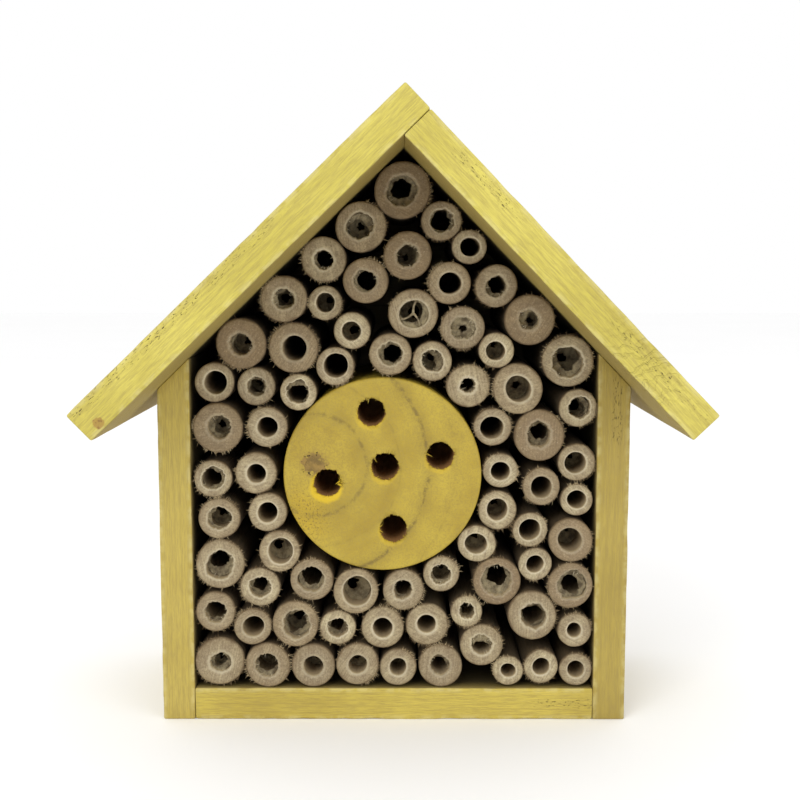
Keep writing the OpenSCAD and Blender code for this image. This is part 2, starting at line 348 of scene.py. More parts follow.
# %% Pine recipe
def stained_pine(name, board, heart, seed, pale, deep, marks=()):
    """Pine whose grain runs along the board.

    Rings are a sine of the distance from the heart line, bent by noise that is long along the grain.
    marks are (kind, share of the length, depth from the outer face, reach): a knot, a row of small
    checks along the grain, or a wrinkled patch that the saw tore.
    """
    start, along, thick, front, _, length, _ = board
    r = Recipe(name, 0.62)
    g = r.dot(r.place, (along[0], 0, along[1]))
    w = r.math("SUBTRACT", r.dot(r.place, (thick[0], 0, thick[1])), float(start @ thick))
    y = r.dot(r.place, (0, 1, 0))
    grain = r.combine(g, y, w)
    bend = r.noise(r.stretched((7, 26, 26), (seed, seed * 2, 0), grain), 1.0, 2.0)
    y_off, w_off = r.math("SUBTRACT", y, heart[0]), r.math("SUBTRACT", w, heart[1])
    away = r.math("SQRT", r.math("MULTIPLY_ADD", y_off, y_off, r.math("MULTIPLY", w_off, w_off)))
    turns = r.math("MULTIPLY_ADD", away, 2600.0, r.math("MULTIPLY", bend, 30.0))
    rings = r.between(r.math("SINE", turns), 0.0, 1.0)
    fibres = r.noise(r.stretched((150, 1900, 1900), (seed, 0, 0), grain), 1.0, 4.0, 0.7)
    streaks = r.noise(r.stretched((12, 300, 300), (0, seed, 0), grain), 1.0, 3.0)
    clouds = r.noise(r.place, 26.0, 4.0)
    worn = r.math("MULTIPLY", r.attribute("edge"), r.between(r.noise(r.place, 200.0, 4.0), 0.4, 0.6))

    colour = r.mix(r.between(clouds, 0.3, 0.7), paint(deep), paint(pale))
    colour = r.mix(r.math("MULTIPLY", rings, 0.12), colour, paint("#7d6a2c"))
    colour = r.mix(r.between(streaks, 0.5, 0.78, 0.0, 0.24), colour, paint("#8a7433"))
    colour = r.mix(r.between(fibres, 0.34, 0.62, 0.42, 0.0), colour, paint("#85713a"))
    colour = r.mix(r.math("MULTIPLY", worn, 0.3), colour, paint("#d6cc93"))

    # The face towards the canes took little stain and is painted a darker tan, partly as painted shade;
    # from the front inwards a painted shade darkens it further, for the dark cavity behind the canes
    behind = r.between(y, front + 0.1 * mm, front + 0.8 * mm)
    inner_face = r.math("MULTIPLY", behind, r.between(w, 0.955 * board_t, 0.99 * board_t))
    from_middle = r.math("ABSOLUTE", r.dot(r.place, (1, 0, 0)))
    indoors = r.between(from_middle, floor_high.x + 0.2 * mm, floor_high.x + mm, 1.0, 0.0)
    painted_cavity_shade = r.math("MULTIPLY", indoors, r.between(y, body_front - 3 * mm, body_front + 9 * mm, 0.0, 0.9))
    colour = r.mix(r.math("MULTIPLY", inner_face, 0.62), colour, paint("#91794a"))
    # Painted shade: near black on the inner faces inside the house, growing from the front inwards
    colour = r.mix(r.math("MULTIPLY", inner_face, painted_cavity_shade), colour, paint("#2b2414"))
    height = r.math("MULTIPLY_ADD", fibres, 0.9, r.math("MULTIPLY", rings, 0.12))
    for kind, share, depth, reach in marks:
        spot = start + along * share * length + thick * depth
        centre = (spot[0], front, spot[1])
        here = r.near(centre, reach, 0.7)
        if kind == "knot":
            wavy = r.noise(r.place, 600.0, 3.0)
            shape = r.between(r.math("MULTIPLY_ADD", wavy, 1.3, here), 1.0, 1.3)
            colour = r.mix(r.math("MULTIPLY", shape, 0.75), colour, paint("#96702f"))
            darkest = r.between(r.math("MULTIPLY", wavy, shape), 0.5, 0.62, 0.0, 0.6)
            colour = r.mix(darkest, colour, paint("#6d4a22"))
        if kind == "checks":
            band = r.between(r.math("ABSOLUTE", r.math("SUBTRACT", w, depth)), 0.7 * mm, 2.4 * mm, 1.0, 0.0)
            cracks = r.noise(r.stretched((560, 500, 2100), (seed, 3, 0), grain), 1.0, 3.0, 0.6, 0.5)
            cracks = r.math("MULTIPLY", r.between(cracks, 0.6, 0.66), r.math("MULTIPLY", here, band))
            colour = r.mix(r.math("MULTIPLY", cracks, 0.9), colour, paint("#4c3e14"))
            height = r.math("SUBTRACT", height, r.math("MULTIPLY", cracks, 1.6))
        if kind == "wrinkles":
            slanted = r.math("MULTIPLY_ADD", w, 900.0, r.math("MULTIPLY", g, 1500.0))
            folds = r.math("SINE", r.math("MULTIPLY_ADD", r.noise(r.place, 130.0, 3.0), 26.0, slanted))
            folds = r.math("MULTIPLY", r.between(folds, 0.1, 1.0), here)
            colour = r.mix(r.math("MULTIPLY", folds, 0.1), colour, paint("#6f5d22"))
            height = r.math("SUBTRACT", height, r.math("MULTIPLY", folds, 1.3))
    return r.finish(colour, height, 0.0002, r.between(fibres, 0.3, 0.7, 0.55, 0.75))


# %% [markdown]
# ## Boards
# A sawn board is a box, but a real one has edges that hands and sanding have rounded, ends that
# are a little rough, and faces that aren't quite flat. Here a rounded rectangle, the board's cross
# section, is carried along the grain. Near each end it draws in round a quarter circle, and then
# closes to a point in the middle of the end face.

# %% Board shape
def rounded_rectangle(width, thickness, corner, step):
    """Points round a rectangle with quarter-circle corners, and how far each lies on a corner, 0 to 1."""
    turn = np.linspace(0, pi / 2, 5)
    arc = np.stack([np.cos(turn), np.sin(turn)], -1) * corner
    across = np.linspace(-1, 1, max(3, int(width / step)))[1:-1] * (width / 2 - corner)
    through = np.linspace(-1, 1, max(3, int(thickness / step * 2)))[1:-1] * (thickness / 2 - corner)
    half_w, half_t = width / 2 - corner, thickness / 2 - corner
    sides = [
        arc + (half_w, half_t),
        np.stack([-across, np.full_like(across, thickness / 2)], -1),
        np.stack([-arc[:, 1], arc[:, 0]], -1) + (-half_w, half_t),
        np.stack([np.full_like(through, -width / 2), -through], -1),
        -arc + (-half_w, -half_t),
        np.stack([across, np.full_like(across, -thickness / 2)], -1),
        np.stack([arc[:, 1], -arc[:, 0]], -1) + (half_w, -half_t),
        np.stack([np.full_like(through, width / 2), through], -1),
    ]
    on_corner = [np.full(len(s), 1.0 if k % 2 == 0 else 0.0) for k, s in enumerate(sides)]
    return np.concatenate(sides), np.concatenate(on_corner)


def board_skin(start, along, thick, y0, y1, length_outer, length_inner, seed):
    """A board from start, running along a direction of the front view.

    place = start + along * run + thick * depth. The board has a length on each of its two faces, so
    an end can be sawn at a slope. Over the last corner * (1 - cos a) of its run the section draws in
    by corner * (1 - sin a), and then it shrinks to the middle of the end.
    """
    corner = 0.6 * mm
    section, on_corner = rounded_rectangle(y1 - y0, board_t, corner, 3 * mm)
    a, cap = np.linspace(0, pi / 2, 4), np.linspace(0, 1, 7)[:-1]
    middle = np.linspace(0, 1, int(length_outer / (3 * mm)))[1:-1]
    share = np.concatenate([cap * 0, a * 0, middle, a * 0 + 1, cap * 0 + 1])[:, None]
    shrink = np.concatenate([cap, a * 0 + 1, middle * 0 + 1, a * 0 + 1, cap[::-1]])[:, None, None]
    draw_in, step_out = 1 - np.sin(a), 1 - np.cos(a)
    drawn = np.concatenate([cap * 0 + 1, draw_in, middle * 0, draw_in[::-1], cap * 0 + 1])[:, None]
    from_end = np.concatenate([cap * 0, step_out, middle * 0 + 1, step_out[::-1], cap * 0])[:, None]

    half = np.array([(y1 - y0) / 2, board_t / 2])
    pulled = section[None] * (1 - drawn[..., None] * corner / half) * shrink
    edge = np.maximum(on_corner[None], drawn * (shrink[..., 0] > 0.99))
    middle_y = (y0 + y1) / 2

    def place(across, through):
        depth = through + board_t / 2
        length = length_outer + (length_inner - length_outer) * depth / board_t
        run = share * length + corner * from_end * (1 - 2 * share)
        return np.stack([start[0] + along[0] * run + thick[0] * depth, across + middle_y,
                         start[1] + along[1] * run + thick[1] * depth], -1)

    # Wear: faces lose up to a tenth of a millimetre and edges up to a quarter, in patches
    rough = place(pulled[..., 0], pulled[..., 1])
    face_loss = 0.05 * (1 + ripple(rough, 40 * mm, seed))
    edge_loss = 0.2 * edge * np.clip(ripple(rough, 14 * mm, seed + 9), 0, 1)
    loss = (face_loss + edge_loss) * mm
    outermost = np.abs(pulled) > half - 1.5 * corner
    pulled = pulled - np.sign(pulled) * outermost * loss[..., None] * shrink
    return skin(place(pulled[..., 0], pulled[..., 1]), {"edge": edge})


# %% [markdown]
# ## Nail heads
# The nails sit just under the faces, so each board needs a small pocket over every head. A pocket
# is a cut, and the Boolean modifier makes cuts well. The cutters are short rounds that stand where
# the CAD nails stand.

# %% Pockets
def round_bar(centre, axis, radius, start, end, sides=24):
    """A closed round bar: circles of the given radius at start and end along the axis, closed to points."""
    axis = np.array(axis, float) / np.linalg.norm(axis)
    side = np.cross(axis, [0.31, 0.77, 0.55])
    side /= np.linalg.norm(side)
    other = np.cross(axis, side)
    turn = np.linspace(0, 2 * pi, sides, endpoint=False)
    ring = np.cos(turn)[:, None] * side + np.sin(turn)[:, None] * other
    run, size = np.array([start, start, end, end]), np.array([0.0, radius, radius, 0.0])
    points = np.array(centre) + run[:, None, None] * axis + size[:, None, None] * ring[None]
    return skin(points)


def cut(target, skins):
    """Takes the given closed skins out of a piece for good."""
    tool = piece(target.name + "_cutter", skins, target.data.materials[0])
    step = target.modifiers.new("cut", "BOOLEAN")
    step.operation = "DIFFERENCE"
    step.solver = "EXACT"
    step.object = tool
    step.use_self = False
    shape = target.evaluated_get(bpy.context.evaluated_depsgraph_get())
    made = bpy.data.meshes.new_from_object(shape)
    target.modifiers.clear()
    target.data = made
    bpy.data.objects.remove(tool)


def nail_axes(name):
    """For each nail of a node: its head's middle, the way it points out, and the head's radius.

    The head's rim is the widest part, so the points farthest from the nail's own long line are its rim.
    """
    found = []
    for points in solids(name):
        middle = points.mean(axis=0)
        _, _, directions = np.linalg.svd(points - middle, full_matrices=False)
        axis = directions[0]
        along = (points - middle) @ axis
        off = np.linalg.norm((points - middle) - along[:, None] * axis, axis=1)
        rim = off > off.max() * 0.8
        if along[rim].mean() < 0:
            axis, along = -axis, -along
        radius = off.max()
        found.append((middle + axis * along.max(), axis, radius))
    return found


# %% Lay the boards
roof_stain, wall_stain, floor_stain = ("#cbbe58", "#baac48"), ("#baa54e", "#aa9542"), ("#c4b04c", "#b29d40")
# The right wall gets a darker copy of the wall stain: painted shade, for the side away from the key light
painted_shade_wall_stain = ("#ad9846", "#9c873a")
finish = {
    "roof_left": ((0.02, 0.19), roof_stain,
                  [("knot", 0.96, 0.78 * board_t, 3.0 * mm), ("checks", 0.8, 0.17 * board_t, 0.085)]),
    "roof_right": ((-0.09, 0.25), roof_stain,
                   [("checks", 0.82, 0.36 * board_t, 0.032), ("checks", 0.22, 0.3 * board_t, 0.02),
                    ("wrinkles", 0.79, 0.75 * board_t, 0.024)]),
    "left_wall": ((-0.05, -0.12), wall_stain, []),
    "right_wall": ((0.06, 0.13), painted_shade_wall_stain, [("checks", 0.93, 0.4 * board_t, 0.02)]),
    "floor_board": ((-0.03, -0.06), floor_stain, [("checks", 0.93, 0.5 * board_t, 0.016)]),
}
pockets = {"roof_left": ["ridge_nails", "roof_nails"], "roof_right": ["roof_nails"],
           "left_wall": ["wall_nails", "back_pins"], "right_wall": ["wall_nails", "back_pins"]}
for seed, (name, (start, along, thick, y0, y1, outer, inner)) in enumerate(boards.items()):
    heart_line, (pale, deep), marks = finish[name]
    wood = stained_pine("pine_" + name, boards[name], heart_line, seed * 3 + 1, pale, deep, marks)
    shape = board_skin(start, along, thick, y0, y1, outer, inner, seed * 31)
    board = piece(name + "_board", [shape], wood, [name])
    outward = -np.array([thick[0], 0, thick[1]])
    side = shape["points"][:, 0].mean()
    cutters = [round_bar(head, axis, radius + 0.25 * mm, -0.1 * mm, board_t)
               for row in pockets.get(name, []) for head, axis, radius in nail_axes(row)
               if axis @ outward > 0.5 and (row == "ridge_nails" or head[0] * side > 0)]
    if cutters:
        cut(board, cutters)
    print(name, len(board.data.polygons), "faces,", len(cutters), "pockets")

# %% [markdown]
# ## The log
# A round of wood, barked and stained like the boards, with five drilled holes. Its face shows end
# grain: rings round a heart that lies well to the left, and a brown patch at the heart. The body is
# a turned profile with a slightly uneven outline. The drill tore the fibres at each hole, so the
# cutters flare at the mouth and their rim is ragged.

# %% Log finish
nest_front = body_front
log_solid = node_points("log")
heart = np.array([log_middle[0] - 0.69 * log_r, nest_front, log_middle[1] + 0.105 * log_r])


def nest_places():
    """Middles and radius of the drilled holes, from the points of their flat ends.

    Points that lie inside the log's own round, and not on its two faces, belong to the holes' ends.
    """
    off = np.hypot(log_solid[:, 0] - log_middle[0], log_solid[:, 2] - log_middle[1])
    between_faces = (log_solid[:, 1] > log_low.y + 1 * mm) & (log_solid[:, 1] < log_high.y - 1 * mm)
    inside = (off < log_r * 0.97) & between_faces
    ends = np.unique(np.round(log_solid[inside], 6), axis=0)
    found = []
    while len(ends):
        close = np.hypot(ends[:, 0] - ends[0, 0], ends[:, 2] - ends[0, 2]) < 0.3 * log_r
        ring = ends[close]
        middle = (ring.max(axis=0) + ring.min(axis=0)) / 2
        radius = (ring[:, 0].max() - ring[:, 0].min()) / 2
        ends = ends[~close]
        found.append((middle[0], middle[2], radius, ring[:, 1].max()))
    return found


nests = nest_places()
print("nests in mm:", [[round(v / mm, 1) for v in n] for n in nests])


def log_finish():
    """End grain under thin yellow stain: two strong rings and two weak ones, a brown heart, bare holes."""
    r = Recipe("log_end_grain", 0.6)
    step = r.add("ShaderNodeVectorMath", operation="SUBTRACT")
    r.feed(step.inputs[0], r.place)
    step.inputs[1].default_value = tuple(heart)
    length = r.add("ShaderNodeVectorMath", operation="LENGTH")
    r.feed(length.inputs[0], r.stretched((1, 0, 1), (0, 0, 0), step.outputs[0]))
    bend = r.math("SUBTRACT", r.noise(r.place, 32.0, 3.0), 0.5)
    away = r.math("MULTIPLY_ADD", bend, 0.007, length.outputs["Value"])
    fine = r.between(r.math("SINE", r.math("MULTIPLY", away, 1400.0)), 0.35, 1.0)
    broken = r.between(r.noise(r.place, 330.0, 5.0, 0.75), 0.38, 0.6, 0.15, 1.0)
    rings = r.math("MULTIPLY", fine, 0.05)
    # Each ring: its radius and half its width in mm, and how dark it is
    strong_and_weak = ((19.0, 1.7, 0.62), (31.0, 0.9, 0.26), (42.0, 1.7, 0.74), (52.0, 1.0, 0.22))
    for radius, width, strength in strong_and_weak:
        off = r.math("ABSOLUTE", r.math("SUBTRACT", away, radius * mm))
        line = r.math("MULTIPLY", r.between(off, 0.0, width * mm, 1.0, 0.0), broken)
        halo = r.between(off, 0.0, 3.2 * width * mm, 0.3, 0.0)
        rings = r.math("MAXIMUM", rings, r.math("MULTIPLY", r.math("MAXIMUM", line, halo), strength))
    clouds = r.noise(r.place, 60.0, 5.0)
    pores = r.noise(r.stretched((1, 0.04, 1)), 1700.0, 3.0, 0.7)
    rays = r.noise(r.combine(r.math("MULTIPLY", away, 90.0), 0.0, r.math("MULTIPLY", pores, 2.0)), 1.0, 2.0)
    grime = r.between(r.noise(r.place, 1200.0, 4.0, 0.75), 0.54, 0.62)
    corner_spot = (log_middle[0] - 0.82 * log_r, nest_front, log_middle[1] - 0.42 * log_r)
    dirt = r.math("MULTIPLY", grime, r.math("ADD", r.near(corner_spot, 0.44 * log_r, 0.85), 0.08))

    colour = r.mix(r.between(clouds, 0.3, 0.7), paint("#9a8124"), paint("#b39b32"))
    colour = r.mix(r.between(rays, 0.3, 0.7, 0.0, 0.35), colour, paint("#c2ac3e"))
    colour = r.mix(r.math("MULTIPLY", r.near(corner_spot, 0.4 * log_r, 0.9), 0.45), colour, paint("#cfae0c"))
    colour = r.mix(rings, colour, paint("#5f4c20"))
    colour = r.mix(r.between(pores, 0.35, 0.6, 0.34, 0.0), colour, paint("#7d682a"))
    colour = r.mix(dirt, colour, paint("#6b5412"))

    # The brown heart: a ragged blob with a few dark checks round its rim
    wavy = r.noise(r.place, 330.0, 5.0, 0.65)
    from_heart = length.outputs["Value"]
    blob = r.between(r.math("MULTIPLY_ADD", wavy, -0.010, from_heart), -1.4 * mm, -0.1 * mm, 1.0, 0.0)
    halo = r.between(from_heart, 3.0 * mm, 8.5 * mm, 0.35, 0.0)
    colour = r.mix(halo, colour, paint("#8f742c"))
    brown = r.mix(r.between(wavy, 0.35, 0.65), paint("#5f471c"), paint("#8a6c31"))
    colour = r.mix(r.math("MULTIPLY", blob, 0.85), colour, brown)
    off_rim = r.math("ABSOLUTE", r.math("SUBTRACT", from_heart, 3.9 * mm))
    rim = r.between(off_rim, 0.3 * mm, 1.3 * mm, 1.0, 0.0)
    checks = r.math("MULTIPLY", r.between(r.noise(r.place, 800.0, 2.0), 0.6, 0.66), rim)
    colour = r.mix(r.math("MULTIPLY", checks, 0.9), colour, paint("#2c1a0c"))
    height = r.math("SUBTRACT", r.math("MULTIPLY", pores, 0.8), r.math("MULTIPLY", checks, 3.0))
    height = r.math("SUBTRACT", height, r.math("MULTIPLY", rings, 0.8))

    # Stain that ran and pooled under each hole, and bare brown wood inside it
    for x, z, radius, _ in nests:
        strong = 1.0 if x == min(n[0] for n in nests) else 0.45
        spot = (x - 0.1 * radius, nest_front, z - 0.3 * radius)
        pool = r.near(spot, (1.2 + 0.4 * strong) * radius, 0.5)
        pool = r.between(r.math("MULTIPLY_ADD", r.noise(r.place, 240.0, 4.0), 0.6, pool), 0.55, 1.1)
        colour = r.mix(r.math("MULTIPLY", pool, 0.85 * strong), colour, paint("#cfae0c"))
    y = r.dot(r.place, (0, 1, 0))
    unstained = r.between(y, nest_front + 0.15 * mm, nest_front + 1.1 * mm)
    inside = r.math("MULTIPLY", unstained, r.attribute("bare"))
    colour = r.mix(inside, colour, paint("#977044"))
    return r.finish(colour, height, 0.00022, r.between(pores, 0.3, 0.7, 0.5, 0.7))


# %% Log shape
def log_skin():
    """A turned profile: along the side, round the rim, over the face to its middle, at both ends."""
    rim = 0.9 * mm
    a = np.linspace(0, pi / 2, 6)
    face = np.linspace(0, 1, 14)[:-1]
    y0, y1 = log_low.y, log_high.y
    radius = np.concatenate([face * (log_r - rim), log_r - rim + rim * np.sin(a), np.full(20, log_r),
                             log_r - rim + rim * np.cos(a), (face * (log_r - rim))[::-1]])
    side = np.linspace(y0 + 2 * rim, y1 - 2 * rim, 20)
    y = np.concatenate([face * 0 + y0, y0 + rim * (1 - np.cos(a)), side, y1 - rim + rim * np.sin(a),
                        face * 0 + y1])
    turn = np.linspace(0, 2 * pi, 180, endpoint=False)
    out = 1 + 0.004 * np.cos(2 * turn) + 0.0035 * ripple(np.stack([np.cos(turn), np.sin(turn)], -1), 2.2, 5)
    points = np.empty((len(y), len(turn), 3))
    points[..., 0] = log_middle[0] + radius[:, None] * out * np.cos(turn)
    points[..., 2] = log_middle[1] + radius[:, None] * out * np.sin(turn) * 0.992
    points[..., 1] = y[:, None]
    on_rim = np.clip((radius - (log_r - rim)) / rim, 0, 1)[:, None]
    points[..., 1] += np.where(y[:, None] < y0 + rim, 1, 0) * 0.15 * mm * ripple(points, 18 * mm, 8) * on_rim
    return skin(points, {"bare": np.zeros(1)})


def nest_cutter(x, z, radius, end, seed):
    """A drill's path: straight in the wood, torn and flared over the last two millimetres at the mouth.

    The radius is radius * (1 + flare * tears), where tears is a rough function of the turn: broad
    bites of up to an eighth of the radius, with fine teeth on them.
    """
    turn = np.linspace(0, 2 * pi, 180, endpoint=False)
    circle = np.stack([np.cos(turn), np.sin(turn)], -1)
    bites = np.clip(ripple(circle, 0.6, seed + 1, 9), 0, 1) * 0.13
    teeth = 0.08 * ripple(circle, 0.11, seed, 15)
    y = np.array([-3.0, -3.0, -0.2, 0.0, 0.3, 0.8, 1.6, 3.0, 20.0]) * mm + nest_front
    y = np.concatenate([y, [end, end]])
    flare = np.array([0, 1, 1, 1, 0.85, 0.5, 0.2, 0.05, 0, 0, 0])[:, None]
    size = np.array([0, 1, 1, 1, 1, 1, 1, 1, 1, 1, 0])[:, None]
    spread = size * radius * (1.0 + flare * (bites + teeth)[None])
    points = np.empty((len(y), len(turn), 3))
    points[..., 0], points[..., 2] = x + spread * circle[:, 0], z + spread * circle[:, 1]
    points[..., 1] = y[:, None]
    return skin(points)


def splinters(x, z, radius, y0, turn, reach, width, rng, values):
    """Torn fibres or chips round a rim, one for each turn, each a thin three-sided spike.

    Along a spike, t from 0 to 1: place = root + outward * reach * t + drift * t^2, and its width is
    width * (1 - t). A negative reach points into the hole.
    """
    count = len(turn)
    outward = np.stack([np.cos(turn), np.zeros(count), np.sin(turn)], -1)
    depth = y0 + rng.uniform(0.05, 0.6, count) * mm
    root = np.stack([x + radius * np.cos(turn), depth, z + radius * np.sin(turn)], -1)
    drift = rng.normal(0, 0.5, (count, 3)) * reach
    drift[:, 1] = -np.abs(drift[:, 1]) * 0.5
    length = reach * rng.uniform(0.25, 1.2, count)[:, None, None]
    t = np.array([0, 0, 0.35, 0.7, 1])[:, None]
    thick = np.array([0, 1, 0.8, 0.45, 0]) * width
    spine = root[:, None] + outward[:, None] * length * t + drift[:, None] * t**2
    around = np.linspace(0, 2 * pi, 3, endpoint=False)
    side = np.stack([-np.sin(turn), np.zeros(count), np.cos(turn)], -1)
    ring = np.cos(around)[:, None] * side[:, None] + 0.35 * np.sin(around)[:, None] * np.array([0, 1, 0])
    points = (spine[:, :, None] + thick[:, None, None] * ring[:, None]).reshape(-1, 3)
    faces = (grid_faces(5, 3)[None] + np.arange(count)[:, None, None] * 15).reshape(-1, 4)
    if reach > 0:
        faces = faces[:, ::-1]
    values = {key: np.full(len(points), float(np.ravel(value)[0])) for key, value in values.items()}
    return {"points": points, "faces": faces, "values": values}


log_piece = piece("log_round", [log_skin()], log_finish(), ["log"])
cut(log_piece, [nest_cutter(x, z, rad, end, 40 + k) for k, (x, z, rad, end) in enumerate(nests)])

# A cut piece loses the values of its cutters, so the points round each hole's own line get theirs here
places = np.empty(len(log_piece.data.vertices) * 3)
log_piece.data.vertices.foreach_get("co", places)
places = places.reshape(-1, 3)
bare = np.zeros(len(places))
for x, z, radius, _ in nests:
    round_hole = np.hypot(places[:, 0] - x, places[:, 2] - z) < 1.4 * radius
    bare[round_hole & (places[:, 1] < log_high.y - 5 * mm)] = 1
log_piece.data.attributes["bare"].data.foreach_set("value", bare)
rng = np.random.default_rng(12)
chips, stained = [], {"bare": 0.0}
for x, z, radius, _ in nests:
    torn = x == min(n[0] for n in nests)
    turn = rng.uniform(0, 2 * pi, 12)
    chips.append(splinters(x, z, radius * 1.06, nest_front, turn, -0.7 * mm, 0.3 * mm, rng, stained))
    turn = rng.normal(-0.05 if torn else rng.uniform(1.7, 3.4), 0.13, 7 if torn else 4)
    long, wide = (-2.7 * mm, 0.65 * mm) if torn else (-1.9 * mm, 0.45 * mm)
    chips.append(splinters(x, z, radius * 1.08, nest_front, turn, long, wide, rng, stained))
log_chips = piece("log_chips", chips, log_piece.data.materials[0])
print("log", len(log_piece.data.polygons), "faces")

# %% [markdown]
# ## Bamboo canes
# Each cane is a tube sawn to length. Its sawn face is pale and woolly, its bore has a bright
# bevelled lip, and its skin is darker. Some were sawn close to a node, where a thin grey wall
# closes the cane: the saw or the drill left ragged pieces of it in the bore. Others have a fringe
# of torn fibres. The tube's wall is one closed profile carried round the cane, and the remains of
# the node and the fibres are further small grids in the same piece.

# %% Cane finish
def bamboo_finish():
    """Colour by how far through the wall a point lies, with a tone and a lightness for each cane."""
    r = Recipe("bamboo", 0.78)
    through, tone, light = r.attribute("through"), r.attribute("tone"), r.attribute("light")
    film, deep, fuzz, saw = r.attribute("film"), r.attribute("deep"), r.attribute("fuzz"), r.attribute("saw")
    grain = r.noise(r.stretched((1, 0.08, 1)), 1500.0, 4.0, 0.75)
    bundles = r.between(r.cells(r.stretched((1, 0.02, 1)), 1700.0), 0.1, 0.3, 1.0, 0.0)
    clouds = r.noise(r.stretched((1, 0.3, 1)), 260.0, 4.0, 0.6)
    saw_place = r.combine(r.math("MULTIPLY_ADD", clouds, 1.2, r.math("MULTIPLY", saw, 1900.0)), tone, light)
    saw_lines = r.noise(saw_place, 1.0, 3.0, 0.7)

    face = r.mix(tone, paint("#9e9175"), paint("#8f7a5a"))
    face = r.mix(light, face, paint("#c8ba94"))
    face = r.mix(r.between(clouds, 0.35, 0.7, 0.0, 0.6), face, paint("#7c6a50"))
    face = r.mix(r.between(saw_lines, 0.35, 0.62, 0.42, 0.0), face, paint("#69573d"))
    face = r.mix(r.math("MULTIPLY", bundles, r.between(through, 0.2, 0.9, 0.1, 0.45)), face, paint("#5c4a33"))
    face = r.mix(r.between(grain, 0.34, 0.56, 0.5, 0.0), face, paint("#655540"))
    face = r.mix(r.between(grain, 0.56, 0.72, 0.0, 0.4), face, paint("#c8bc9e"))
    face = r.mix(r.between(through, 0.4, 0.95, 0.0, 0.35), face, paint("#74603f"))
    ragged_rim = r.math("MULTIPLY_ADD", r.math("SUBTRACT", clouds, 0.5), 0.35, through)
    face = r.mix(r.between(ragged_rim, 0.84, 1.0, 0.0, 0.8), face, paint("#5d4a30"))
    lip = r.math("MULTIPLY", r.between(through, 0.0, 0.32, 0.6, 0.0), r.between(light, 0.1, 0.6, 0.4, 1.0))
    face = r.mix(lip, face, paint("#ddd2b4"))
    # Painted shade: the bore is painted lighter at the mouth and darker the deeper it goes
    bore = r.mix(r.between(deep, 0.0, 0.15), paint("#c0ae86"), paint("#a39070"))
    bore = r.mix(r.between(deep, 0.2, 1.0), bore, paint("#6f5d45"))
    colour = r.mix(r.between(deep, 0.0, 0.02), face, bore)
    skin_lines = r.noise(r.stretched((900, 25, 900)), 1.0, 3.0)
    outside = r.mix(skin_lines, paint("#3b2f1e"), paint("#5f4d31"))
    colour = r.mix(r.between(through, 1.0, 1.02), colour, outside)
    paper = r.mix(r.between(r.noise(r.place, 330.0, 4.0, 0.65), 0.3, 0.7), paint("#544834"), paint("#9c8f6f"))
    colour = r.mix(film, colour, paper)
    colour = r.mix(fuzz, colour, r.mix(tone, paint("#6d5738"), paint("#c0ab82")))
    height = r.math("MULTIPLY_ADD", saw_lines, 0.8, r.math("MULTIPLY", bundles, -0.4))
    height = r.math("ADD", grain, height)
    return r.finish(colour, height, 0.00022)


# %% Cane shapes
def cane_values(tone, light, **others):
    """What the cane material reads; a value that isn't given is 0."""
    values = {"through": 0.5, "tone": tone, "light": light, "film": 0.0, "deep": 0.0, "fuzz": 0.0, "saw": 0.0}
    values.update(others)
    return {key: np.atleast_2d(value) for key, value in values.items()}


